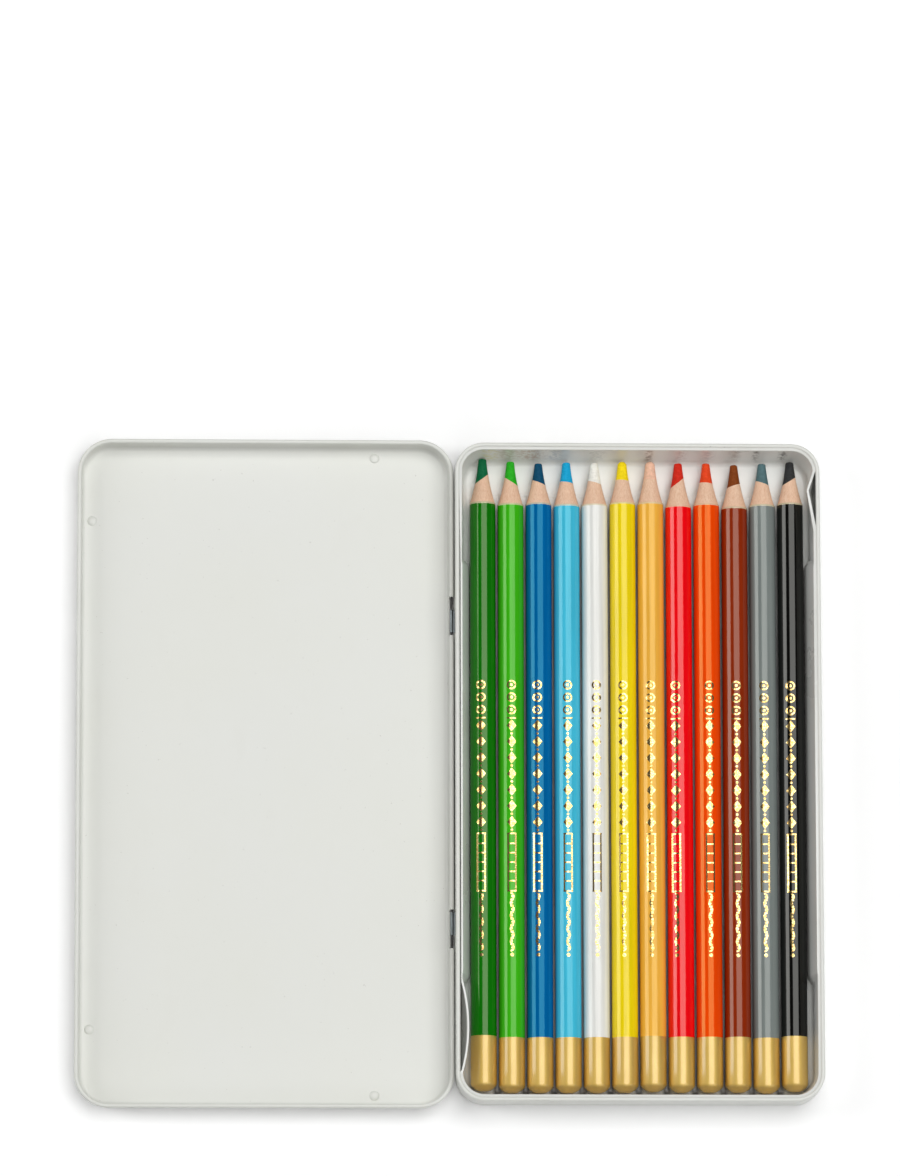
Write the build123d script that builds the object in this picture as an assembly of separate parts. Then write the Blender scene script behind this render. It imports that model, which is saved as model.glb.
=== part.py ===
from build123d import *
import math
import os

# Twelve round coloured pencils in a shallow hinged tin, lid open flat beside the base.
# Millimetres. Origin: middle of the underside of the base. +Z up, +Y towards the pencil
# tips, the lid lies on the -X side.

# Tinplate base
tin_sheet = 0.25
base_width = 101.5
base_length = 183.8
base_height = 12.0
base_corner_radius = 8.0
base_bottom_radius = 1.3
curl_diameter = 1.2
curl_flats = 6
base_curl_wrap = 250.0
bend_flats = 2

# Lid, and how it fits over the base when shut
skirt_clearance = 0.3
roof_clearance = 0.35
lid_edge_radius = 1.5
lid_curl_wrap = 255.0

# Hinges: a wire pin in the rolled edge of the lid, a rolled tab of the base round it
hinge_spacing = 87.5
hinge_slot_length = 10.8
hinge_slot_drop = 0.95
pin_diameter = 0.6
pin_grip_length = 4.0
tab_length = 6.3
tab_offset = 1.45
tab_running_clearance = 0.04
tab_wrap = 290.0
tab_window_margin = 0.35
tab_window_height = 3.4

# Round pips pressed into the lid panel, each by its place along the edge it lies near
pip_radius = 1.35
pip_height = 0.55
pip_edge_distance = 4.2
pip_along_front = 71.2
pip_along_ends = 30.4

# Thermoformed plastic tray
tray_sheet = 0.5
tray_rim_gap = 0.25
tray_drop = 0.6
tray_seat_gap = 0.05
tray_side_draft = 0.06
tray_tip_end_draft = 0.17
tray_butt_end_draft = 0.08
tray_floor_radius = 1.4
tray_corner_flats = 4
groove_clearance = 0.1
groove_sink = 0.4
groove_pencil_gap = 0.05
groove_butt_short = 0.1
groove_tip_short = 10.5
divider_height = 1.9
divider_butt_short = 6.5
divider_tip_short = 15.5

# Sloped finger panels along the middle of both long walls of the tray
shoulder_tip_end = 60.4
shoulder_butt_end = 58.8
shoulder_height = 4.8
shoulder_pencil_gap = 0.3
shoulder_end_radius = 3.0

# Where the thin edge of the tray has sprung inwards from the rim
bow_middle = -71.3
bow_length = 25.0
bow_depth = 1.66
kink_upper = 83.6
kink_middle = 78.8
kink_lower = 69.9
kink_depth = 1.1
edge_spring_height = 6.0

# Row of pencils, lying between the tray's walls
row_side_gap = 2.35
row_end_gap = 1.45
pencil_gap = 0.7

# Pencils
lead_diameter = 3.7
lead_clearance = 0.01
tip_diameter = 1.9
butt_bevel = 1.2

# Left to right: name, tip short of the row's tip line, sharpened length, butt past the row's
# butt line
pencils = [
    ("dark_green", 0.00, 12.6, 0.00),
    ("light_green", 0.70, 12.3, 0.50),
    ("blue", 1.20, 11.6, 0.50),
    ("light_blue", 0.90, 12.3, 0.50),
    ("white", 1.05, 12.0, 0.45),
    ("yellow", 0.55, 12.0, 0.35),
    ("apricot", 0.50, 12.0, 0.10),
    ("red", 1.00, 12.3, 0.30),
    ("orange", 0.98, 11.8, 0.28),
    ("brown", 1.38, 12.3, 0.28),
    ("grey", 1.00, 12.0, 0.50),
    ("black", 0.50, 12.0, 0.00),
]

# How far cutting shapes reach past what they cut
overshoot = 2.0

curl_radius = curl_diameter / 2
closed_height = base_height + roof_clearance + tin_sheet
hinge_z = closed_height / 2
hinge_x = -(base_width / 2 + skirt_clearance + curl_radius)
lid_wall_width = base_width + 2 * (skirt_clearance + tin_sheet)
lid_wall_length = base_length + 2 * (skirt_clearance + tin_sheet)
lid_corner_radius = base_corner_radius + skirt_clearance + tin_sheet
lid_middle_x = 2 * hinge_x

tray_rim_inset = curl_diameter + tray_rim_gap + tray_sheet
tray_half_width = base_width / 2 - tray_rim_inset
tray_half_length = base_length / 2 - tray_rim_inset
tray_corner_radius = base_corner_radius - tray_rim_inset
tray_top = base_height - tray_drop
row_length = 2 * (tray_half_length - row_end_gap)
row_width = 2 * (tray_half_width - row_side_gap)
pencil_pitch = (row_width + pencil_gap) / len(pencils)
pencil_radius = (pencil_pitch - pencil_gap) / 2
groove_bottom = tin_sheet + tray_seat_gap + tray_sheet
groove_radius = pencil_radius + groove_clearance
tray_floor = groove_bottom + groove_sink
pencil_axis_z = groove_bottom + groove_pencil_gap + pencil_radius
first_pencil_x = -row_width / 2 + pencil_radius
shoulder_foot_x = row_width / 2 + shoulder_pencil_gap


def pencil_x(index):
    return first_pencil_x + pencil_pitch * index


def arc_points(eye, radius, start, turn, flats):
    """Points round an arc, ends included, for a bend made of a few flats."""
    return [CenterArc(eye, radius, start, turn) @ (step / flats) for step in range(flats + 1)]


def sheet_section(corner, bottom_radius, curl_height, wrap, outward):
    """Section through floor, wall and rolled edge, drawn from a corner's axis outwards."""
    bend = (corner - bottom_radius, bottom_radius)
    inner_bend = bottom_radius - tin_sheet
    roll = curl_radius - tin_sheet
    if outward:
        eye = (corner - tin_sheet + curl_radius, curl_height)
        start, turn, near, far = 180, -wrap, roll, curl_radius
    else:
        eye = (corner - curl_radius, curl_height)
        start, turn, near, far = 0, wrap, curl_radius, roll
    outline = Polyline(
        (0, 0),
        *arc_points(bend, bottom_radius, -90, 90, bend_flats),
        *arc_points(eye, near, start, turn, curl_flats),
        *reversed(arc_points(eye, far, start, turn, curl_flats)),
        *reversed(arc_points(bend, inner_bend, -90, 90, bend_flats)),
        (0, tin_sheet),
        close=True,
    )
    return Plane.XZ * make_face(outline)


def rolled_pan(width, length, corner, section):
    """Drawn tinplate pan: floor, four walls and four corners with the rolled edge."""
    half_x = width / 2 - corner
    half_y = length / 2 - corner
    quarter = revolve(section, Axis.Z, 90)
    long_side = extrude(section, 2 * half_y, dir=(0, 1, 0))
    short_side = extrude(section, 2 * half_x, dir=(0, 1, 0))
    pan = Pos(0, 0, tin_sheet / 2) * Box(2 * half_x, 2 * half_y, tin_sheet)
    corners = [(half_x, half_y), (-half_x, half_y), (-half_x, -half_y), (half_x, -half_y)]
    for turn, (x, y) in enumerate(corners):
        pan += Pos(x, y) * Rot(0, 0, 90 * turn) * quarter
    pan += Pos(half_x, -half_y) * long_side
    pan += Pos(half_x, half_y) * Rot(0, 0, 90) * short_side
    pan += Pos(-half_x, half_y) * Rot(0, 0, 180) * long_side
    pan += Pos(-half_x, -half_y) * Rot(0, 0, 270) * short_side
    return pan


def block(x_range, y_range, z_range):
    size = [high - low for low, high in (x_range, y_range, z_range)]
    middle = [(high + low) / 2 for low, high in (x_range, y_range, z_range)]
    return Pos(*middle) * Box(*size)


def hinge_tab():
    """Tongue of the base's back wall, rolled round the pin, about its own middle."""
    roll_inner = pin_diameter / 2 + tab_running_clearance
    roll_outer = roll_inner + tin_sheet
    eye = (hinge_x, hinge_z)
    outer = CenterArc(eye, roll_outer, 270, -tab_wrap)
    inner = CenterArc(eye, roll_inner, 270, -tab_wrap)
    root_x = -base_width / 2 + tin_sheet
    edges = [
        Line((root_x, hinge_z - roll_outer), (hinge_x, hinge_z - roll_outer)),
        outer,
        Line(outer @ 1, inner @ 1),
        inner,
        Line((hinge_x, hinge_z - roll_inner), (root_x, hinge_z - roll_inner)),
        Line((root_x, hinge_z - roll_inner), (root_x, hinge_z - roll_outer)),
    ]
    section = Plane.XZ * make_face(edges)
    return Pos(0, -tab_length / 2) * extrude(section, tab_length, dir=(0, 1, 0))


def make_base_tin():
    curl_height = base_height - curl_radius
    section = sheet_section(
        base_corner_radius, base_bottom_radius, curl_height, base_curl_wrap, False
    )
    tin = rolled_pan(base_width, base_length, base_corner_radius, section)
    window_foot = hinge_z - pin_diameter / 2 - tab_running_clearance
    wall_x = -base_width / 2
    for side in (-1, 1):
        tab_y = side * (hinge_spacing / 2 - tab_offset)
        half = tab_length / 2 + tab_window_margin
        tin -= block(
            (wall_x - tin_sheet, wall_x + 2 * tin_sheet),
            (tab_y - half, tab_y + half),
            (window_foot, window_foot + tab_window_height),
        )
        tin += Pos(0, tab_y) * hinge_tab()
    return tin


def pip():
    """Round pip that stands up from the lid panel."""
    foot = Pos(0, 0, tin_sheet) * Circle(pip_radius)
    crown = Pos(0, 0, tin_sheet + pip_height) * Circle(pip_radius - pip_height)
    return loft([foot, crown])


def make_lid_tin():
    section = sheet_section(lid_corner_radius, lid_edge_radius, hinge_z, lid_curl_wrap, True)
    tin = rolled_pan(lid_wall_width, lid_wall_length, lid_corner_radius, section)
    reach = curl_diameter - tin_sheet - pip_edge_distance
    front_x = lid_wall_width / 2 + reach
    end_y = lid_wall_length / 2 + reach
    places = [
        (-front_x, pip_along_front),
        (-front_x, -pip_along_front),
        (pip_along_ends, end_y),
        (pip_along_ends, -end_y),
    ]
    for x, y in places:
        tin += Pos(x, y) * pip()
    tin = Pos(lid_middle_x, 0) * tin
    for side in (-1, 1):
        slot_y = side * hinge_spacing / 2
        half = hinge_slot_length / 2
        tin -= block(
            (hinge_x - curl_diameter, hinge_x + curl_diameter),
            (slot_y - half, slot_y + half),
            (hinge_z - hinge_slot_drop, hinge_z + curl_diameter),
        )
    return tin


def make_hinge_pin(side):
    length = hinge_slot_length + 2 * pin_grip_length
    pin = Rot(90, 0, 0) * Cylinder(pin_diameter / 2, length)
    return Pos(hinge_x, side * hinge_spacing / 2, hinge_z) * pin


def tray_section(height, inset, grow):
    """Rounded rectangle of the tray's hollow at one height, drawn in by an inset."""
    depth = tray_top - height
    half_width = tray_half_width + grow - depth * tray_side_draft - inset
    tip_end = tray_half_length + grow - depth * tray_tip_end_draft - inset
    butt_end = tray_half_length + grow - depth * tray_butt_end_draft - inset
    radius = tray_corner_radius + grow - depth * tray_side_draft - inset
    corners = [
        (half_width - radius, tip_end - radius, 0),
        (radius - half_width, tip_end - radius, 90),
        (radius - half_width, radius - butt_end, 180),
        (half_width - radius, radius - butt_end, 270),
    ]
    points = []
    for x, y, start in corners:
        points += arc_points((x, y), radius, start, 90, tray_corner_flats)
    return Pos(0, 0, height) * make_face(Polyline(*points, close=True))


def tray_hollow(grow, rise):
    """Drafted hollow with its rounded floor edge, open at the top."""
    radius = tray_floor_radius + grow
    foot = tray_floor - grow
    bend = arc_points((radius, radius), radius, 270, -90, bend_flats)
    sections = [tray_section(foot + point.Y, point.X, grow) for point in bend]
    sections.append(tray_section(tray_top + rise, 0, grow))
    return loft(sections, ruled=True)


def shoulder(side, grow):
    """What the sloped finger panel takes from the hollow along one long wall."""
    wall_x = tray_half_width + grow
    foot_x = shoulder_foot_x + grow
    slope = (tray_half_width - shoulder_foot_x) / (tray_top - shoulder_height)
    end_radius = shoulder_end_radius - grow
    outside = wall_x + overshoot + end_radius
    profile = Polyline(
        (foot_x, -overshoot),
        (foot_x, shoulder_height),
        (wall_x + overshoot * slope, tray_top + overshoot),
        (outside, tray_top + overshoot),
        (outside, -overshoot),
        close=True,
    )
    length = shoulder_tip_end + shoulder_butt_end
    wedge = extrude(Plane.XZ * make_face(profile), length, dir=(0, 1, 0))
    plan = Pos(length / 2, 0) * RectangleRounded(length, 2 * (outside - foot_x), end_radius)
    plan = Pos(outside, 0, -overshoot) * Rot(0, 0, 90) * plan
    wedge &= extrude(plan, tray_top + 2 * overshoot, dir=(0, 0, 1))
    wedge = Pos(0, -shoulder_butt_end) * wedge
    return wedge if side > 0 else mirror(wedge, Plane.YZ)


def sprung_edge(outline, lean):
    """Slanted tool that pushes the tray's wall in at the top and leaves its foot alone."""
    slope = lean / edge_spring_height
    height = edge_spring_height + 2 * overshoot
    face = Pos(slope * overshoot, 0, tray_top + overshoot) * outline
    return extrude(face, height * math.hypot(1, slope), dir=(-slope, 0, -1))


def bow(grow):
    radius = bow_length**2 / (8 * bow_depth) + bow_depth / 2
    middle_x = -tray_half_width + bow_depth - radius
    return sprung_edge(Pos(middle_x, bow_middle) * Circle(radius - grow), bow_depth)


def kink(grow):
    wall_x = tray_half_width + grow
    outside = wall_x + overshoot
    upper_run = kink_upper - kink_middle
    lower_run = kink_middle - kink_lower
    widen = overshoot / kink_depth
    outline = make_face(
        Polyline(
            (wall_x - kink_depth, kink_middle),
            (outside, kink_upper + widen * upper_run),
            (outside, kink_lower - widen * lower_run),
            close=True,
        )
    )
    return sprung_edge(outline, -kink_depth)


def tray_form(grow, rise):
    """The tray's whole hollow: grooves, dividers, finger panels and sprung edges."""
    form = tray_hollow(grow, rise)
    row_end = row_length / 2
    form -= block(
        (first_pencil_x, -first_pencil_x),
        (divider_butt_short - row_end + grow, row_end - divider_tip_short - grow),
        (0, tray_floor + divider_height - grow),
    )
    groove_start = groove_butt_short - row_end - grow
    groove_end = row_end - groove_tip_short + grow
    groove = Rot(90, 0, 0) * Cylinder(groove_radius + grow, groove_end - groove_start)
    groove_middle = (groove_start + groove_end) / 2
    for index in range(len(pencils)):
        form += Pos(pencil_x(index), groove_middle, groove_bottom + groove_radius) * groove
    form -= shoulder(1, grow)
    form -= shoulder(-1, grow)
    form -= bow(grow)
    form -= kink(grow)
    return form


def make_tray():
    return tray_form(tray_sheet, 0) - tray_form(0, overshoot)


def cone_meets(radius, length, cone):
    """Where along the pencil the sharpened cone has a radius."""
    tip_radius = tip_diameter / 2
    return length - cone * (radius - tip_radius) / (pencil_radius - tip_radius)


def make_casing(length, cone):
    """Lacquered wood casing, butt at y 0: bevelled butt, barrel, cone, and bore for the lead."""
    bore = lead_diameter / 2 + lead_clearance
    outline = Polyline(
        (bore, 0),
        (pencil_radius - butt_bevel, 0),
        (pencil_radius, butt_bevel),
        (pencil_radius, length - cone),
        (bore, cone_meets(bore, length, cone)),
        close=True,
    )
    return revolve(make_face(outline), Axis.Y, 360)


def make_lead(length, cone):
    """Lead from butt to tip, ground to the casing's cone."""
    radius = lead_diameter / 2
    outline = Polyline(
        (0, 0),
        (radius, 0),
        (radius, cone_meets(radius, length, cone)),
        (tip_diameter / 2, length),
        (0, length),
        close=True,
    )
    return revolve(make_face(outline), Axis.Y, 360)


os.makedirs("parts", exist_ok=True)
export_step(make_base_tin(), "parts/base_tin.step")
export_step(make_lid_tin(), "parts/lid_tin.step")
export_step(make_hinge_pin(1), "parts/hinge_pin_tip_end.step")
export_step(make_hinge_pin(-1), "parts/hinge_pin_butt_end.step")
export_step(make_tray(), "parts/pencil_tray.step")
for index, (name, tip_short, cone, butt_past) in enumerate(pencils):
    length = row_length + butt_past - tip_short
    place = Pos(pencil_x(index), -row_length / 2 - butt_past, pencil_axis_z)
    export_step(place * make_casing(length, cone), f"parts/casing_{name}.step")
    export_step(place * make_lead(length, cone), f"parts/lead_{name}.step")
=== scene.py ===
import math

import bpy
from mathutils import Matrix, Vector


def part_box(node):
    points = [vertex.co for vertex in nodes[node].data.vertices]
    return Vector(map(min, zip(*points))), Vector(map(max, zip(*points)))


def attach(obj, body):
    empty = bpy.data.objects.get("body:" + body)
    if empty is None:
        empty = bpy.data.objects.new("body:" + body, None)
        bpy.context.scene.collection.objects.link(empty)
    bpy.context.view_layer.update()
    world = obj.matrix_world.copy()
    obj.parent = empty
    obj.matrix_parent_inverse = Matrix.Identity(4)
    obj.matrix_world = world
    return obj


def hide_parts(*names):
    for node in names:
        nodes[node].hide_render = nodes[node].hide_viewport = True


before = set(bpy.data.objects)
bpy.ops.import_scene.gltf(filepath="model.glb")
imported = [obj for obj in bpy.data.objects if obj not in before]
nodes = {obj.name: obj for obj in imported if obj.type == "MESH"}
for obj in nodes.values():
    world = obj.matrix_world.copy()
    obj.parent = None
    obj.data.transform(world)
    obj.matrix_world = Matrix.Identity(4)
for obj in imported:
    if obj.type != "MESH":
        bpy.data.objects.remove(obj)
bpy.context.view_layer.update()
bpy.ops.object.select_all(action="DESELECT")

# Twelve round coloured pencils in a shallow hinged tin, its lid open flat beside the base.
# Sizes and places are in millimetres and turns in degrees, except where a comment says otherwise.
# Two places count as the same when they lie nearer than the length named touch.
mm = 0.001
touch = 0.02

# Left to right: name, cone length, lead off centre, tip radius, foil off centre, roll about the
# axis, lacquer colour, lead colour (both as seen, 0 to 255)
pencils = [
    ("dark_green", 12.6, -0.25, 1.00, -0.70, 10, (8, 118, 4), (0, 104, 62)),
    ("light_green", 12.3, 0.23, 0.95, 0.00, 47, (61, 187, 20), (40, 178, 30)),
    ("blue", 11.6, 0.15, 0.95, -0.64, 95, (0, 102, 166), (0, 74, 106)),
    ("light_blue", 12.3, 0.05, 1.00, -0.07, 140, (70, 196, 227), (16, 166, 214)),
    ("white", 12.0, 0.10, 1.00, 0.14, 200, (240, 240, 235), (244, 242, 233)),
    ("yellow", 12.0, 0.02, 1.15, -0.28, 230, (250, 222, 12), (250, 220, 16)),
    ("apricot", 12.0, 0.00, 1.20, -0.43, 265, (250, 186, 70), (240, 192, 164)),
    ("red", 12.3, -0.27, 1.00, -1.30, 300, (252, 2, 17), (212, 40, 20)),
    ("orange", 11.8, 0.03, 0.95, 0.28, 330, (250, 74, 4), (232, 70, 26)),
    ("brown", 12.3, -0.13, 0.90, 0.00, 20, (146, 44, 8), (130, 62, 14)),
    ("grey", 12.0, 0.12, 1.00, -0.14, 75, (129, 137, 134), (84, 114, 118)),
    ("black", 12.0, -0.22, 1.00, -0.57, 120, (6, 6, 5), (48, 49, 50)),
]

# The tint of each lacquer's highlight: the bright ones lend it some of their own colour
shines = {
    "dark_green": (0.95, 1, 0.72, 1),
    "light_green": (0.8, 1, 0.6, 1),
    "blue": (0.2, 0.95, 1, 1),
    "light_blue": (0.6, 1, 1, 1),
    "yellow": (1, 1, 0.7, 1),
    "apricot": (1, 1, 0.6, 1),
    "orange": (1, 1, 0.3, 1),
    "brown": (1, 0.9, 0.75, 1),
}
plain_shine = (1, 1, 0.95, 1)

# Pencil sizes. A short straight collar beside each cut edge keeps the shading even.
pencil_pitch = 7.8
row_half = (len(pencils) - 1) / 2
sides, lead_sides = 56, 40
lead_radius = 1.85
cone_hollow, cone_steps = 0.33, 7
worn_tip_radius, worn_tip_round, sharp_tip_round, cone_foot_extra = 1.1, 0.9, 0.4, 0.12
wood_butt_gap, wood_butt_length, wood_butt_inset = 0.15, 1.7, 2.3
collar = 0.5
paint_thickness, paint_build, paint_gap = 0.16, 0.08, 0.04
paint_edge_length, paint_edge_drop = 0.06, 0.03
primer_line, primer_wander, primer_fade = 0.16, 0.3, 0.04
dip_length, dip_build, dip_sheet, dip_overlap = 15.2, 0.015, 0.06, 0.4
dip_edge_length, dip_edge_drop = 0.25, 0.014
butt_shoulder, butt_dome, butt_turn, butt_end_turn = 1.5, 3.9, 40, 80

# A worn tip, as places before its end and shares of its radius, and the edge of a sharp one, as
# places before its end and how much less its radius is
worn_tip = [(0.45, 0.86), (0.15, 0.62), (0, 0.25)]
sharp_tip = [(0.12, 0.05), (0, 0.4)]

# Rolled tinplate: the main sizes of base and lid are those of their solids
tin_sheet = 0.25
curl_radius = 0.6
bend_steps, curl_steps, corner_steps = 5, 14, 14
floor_reach = 0.6
base_width, base_length, base_corner, base_bend = 101.5, 183.8, 8.0, 1.3
base_curl_height, base_curl_turn = 11.4, 250
lid_width, lid_length, lid_corner, lid_bend = 102.6, 184.9, 8.55, 1.5
lid_curl_height, lid_curl_turn = 6.3, 255
lid_middle_x = -103.3
lid_crown = [(floor_reach, 0.47), (3.0, 0.42), (5.2, 0.32)]

# Hinges
hinge_x, hinge_z = -51.65, 6.3
slot_middle, slot_length, slot_drop = 43.75, 10.8, 3.6
slot_inside, slot_outside, slot_rise = 1.0, 1.2, 1.2
tab_middle, tab_length, tab_radius, tab_sheet = 42.3, 6.3, 0.5, 0.16
tab_root, tab_turn, tab_steps = 0.2, 290, 18
window_margin, window_low, window_high = 0.35, 5.96, 9.36

# Pips pressed into the lid's panel, by their place from the lid's middle
pip_places = [(-48.2, 71.2), (-48.2, -71.2), (30.4, 89.3), (30.4, -89.3)]
pip_radius, pip_level, pip_flatness, pip_foot = 1.35, 0.35, 0.38, 0.3

# Formed tray: the main sizes are those of its solid
tray_half_width, tray_half_length, tray_corner = 48.8, 89.95, 6.05
tray_sheet, tray_top, tray_floor, tray_floor_round = 0.5, 11.4, 1.2, 1.4
side_draft, tip_end_draft, butt_end_draft = 0.06, 0.17, 0.08
row_end, groove_radius, groove_axis_z = 88.5, 3.65, 4.45
groove_butt_short, groove_tip_short = 0.1, 10.5
divider_butt_short, divider_tip_short, divider_height = 6.5, 15.5, 0.3
shoulder_foot, shoulder_height, shoulder_ends = 46.75, 4.8, (-58.8, 60.4)
shoulder_round, shoulder_reach = 3.0, 9.0
bow_middle, bow_length, bow_depth = -71.3, 25.0, 1.66
kink_ends, kink_middle, kink_depth = (68.0, 84.2), 78.8, 1.7
edge_spring_height = 6.0
rim_rounding, rim_steps = 0.34, 4
lip_reach, lip_lift, free_wall_half = 0.35, 0.24, 65.0

# How far the tools that cut the tray reach past its top and its underside
above = 2.0

# Foil ornament: places along the barrel from its middle, then the sizes of its motifs
foil_start, bar_places = 25.6, (15.0, -17.3, -33.3)
foil_width, bar_length = 2.6, 0.4
ring_count, ring_outer, ring_inner, ring_dot, ring_step = 3, 1.3, 0.85, 0.42, 3.5
lozenge_count, lozenge_length, lozenge_dot, lozenge_step, lozenge_gap = 7, 3.3, 0.34, 4.5, 2.1
rail_place, rail_width, rail_length = 1.05, 0.42, 15.6
rung_count, rung_width, rung_length = 5, 1.7, 0.38
wave_count, wave_outer, wave_inner, wave_dot, wave_step, wave_gap = 9, 1.1, 0.68, 0.32, 1.78, 1.5
wave_dot_shift, end_dot, end_dot_gap = 0.1, 0.5, 0.2
foil_lift, foil_thickness, foil_sides = 0.022, 0.03, 28


# Shaping


def start_edit():
    bpy.ops.object.mode_set(mode="EDIT")
    bpy.ops.mesh.select_all(action="SELECT")


def end_edit():
    bpy.ops.object.mode_set(mode="OBJECT")


def face_outwards():
    """Turns the faces of the piece in edit mode outwards, and leaves edit mode."""
    bpy.ops.mesh.select_all(action="SELECT")
    bpy.ops.mesh.normals_make_consistent(inside=False)
    end_edit()


def fix_place():
    """Puts the place and turn of the selected piece into its mesh."""
    bpy.ops.object.transform_apply(location=True, rotation=True, scale=True)


def active(name):
    piece = bpy.context.view_layer.objects.active
    piece.name = name
    piece.data.name = name
    return piece


def select_only(piece):
    bpy.ops.object.select_all(action="DESELECT")
    piece.select_set(True)
    bpy.context.view_layer.objects.active = piece


def settle(piece, smooth_angle=35):
    """Puts a piece's place into its mesh and shades it smooth except at its edges."""
    select_only(piece)
    fix_place()
    start_edit()
    face_outwards()
    bpy.ops.object.shade_smooth_by_angle(angle=math.radians(smooth_angle))


def near(value, target, slack=touch):
    """True where a place in the frame's metres lies at a place in millimetres."""
    return abs(value - target * mm) < slack * mm


def everywhere(place):
    return True


def pick(piece, test, faces=False):
    """Goes into edit mode with the vertices that pass a test, and what lies between them."""
    select_only(piece)
    mesh = piece.data
    for vertex in mesh.vertices:
        vertex.select = test(vertex.co)
    for group in (mesh.edges, mesh.polygons):
        for part in group:
            part.select = all(mesh.vertices[index].select for index in part.vertices)
    bpy.context.tool_settings.mesh_select_mode = (not faces, False, faces)
    bpy.ops.object.mode_set(mode="EDIT")


def pull(x, y, z):
    """Extrudes what is selected."""
    bpy.ops.mesh.extrude_region_move(TRANSFORM_OT_translate={"value": (x * mm, y * mm, z * mm)})


def scale_about(value, x, y, z):
    bpy.ops.transform.resize(value=value, center_override=(x * mm, y * mm, z * mm))


def face_up(piece, up):
    """Turns an open sheet so that its floor looks up, or down."""
    select_only(piece)
    start_edit()
    face_outwards()
    floor = min(piece.data.polygons, key=lambda face: (round(face.center.z, 5), -face.area))
    if (floor.normal.z > 0) != up:
        bpy.ops.object.mode_set(mode="EDIT")
        bpy.ops.mesh.flip_normals()
        end_edit()


def apply_modifier(piece, kind, **settings):
    select_only(piece)
    modifier = piece.modifiers.new(kind.title(), kind)
    for key, value in settings.items():
        setattr(modifier, key, value)
    bpy.ops.object.modifier_apply(modifier=modifier.name)


def remove(piece):
    mesh = piece.data
    bpy.data.objects.remove(piece)
    bpy.data.meshes.remove(mesh)


def combine(piece, cutter, operation="DIFFERENCE"):
    apply_modifier(piece, "BOOLEAN", operation=operation, object=cutter, solver="EXACT")
    remove(cutter)


def copy_of(piece, name):
    select_only(piece)
    bpy.ops.object.duplicate(linked=False)
    return active(name)


def join(first, *others):
    select_only(first)
    for other in others:
        other.select_set(True)
    bpy.ops.object.join()
    return first


def rectangle(name, x_range, y_range, z):
    """A flat rectangle, left in edit mode with all of it selected."""
    bpy.ops.object.select_all(action="DESELECT")
    bpy.ops.mesh.primitive_plane_add(size=mm, location=(0, 0, 0))
    piece = active(name)
    start_edit()
    scale_about((x_range[1] - x_range[0], y_range[1] - y_range[0], 1), 0, 0, 0)
    middle = (sum(x_range) / 2 * mm, sum(y_range) / 2 * mm, z * mm)
    bpy.ops.transform.translate(value=middle)
    return piece


def cut_box(piece, x_range, y_range, z_range):
    bpy.ops.object.select_all(action="DESELECT")
    ranges = (x_range, y_range, z_range)
    bpy.ops.mesh.primitive_cube_add(
        size=1, location=[(low + high) / 2 * mm for low, high in ranges],
        scale=[(high - low) * mm for low, high in ranges],
    )
    combine(piece, active("cutter"))


# Materials


def seen(red, green, blue):
    """Colour as the eye reads it, 0 to 255, in the linear values a shader takes."""
    values = []
    for part in (red, green, blue):
        part = part / 255
        values.append(part / 12.92 if part <= 0.04045 else ((part + 0.055) / 1.055) ** 2.4)
    return (*values, 1.0)


def deeper(colour, share):
    return (*(share * part for part in colour[:3]), 1.0)


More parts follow.
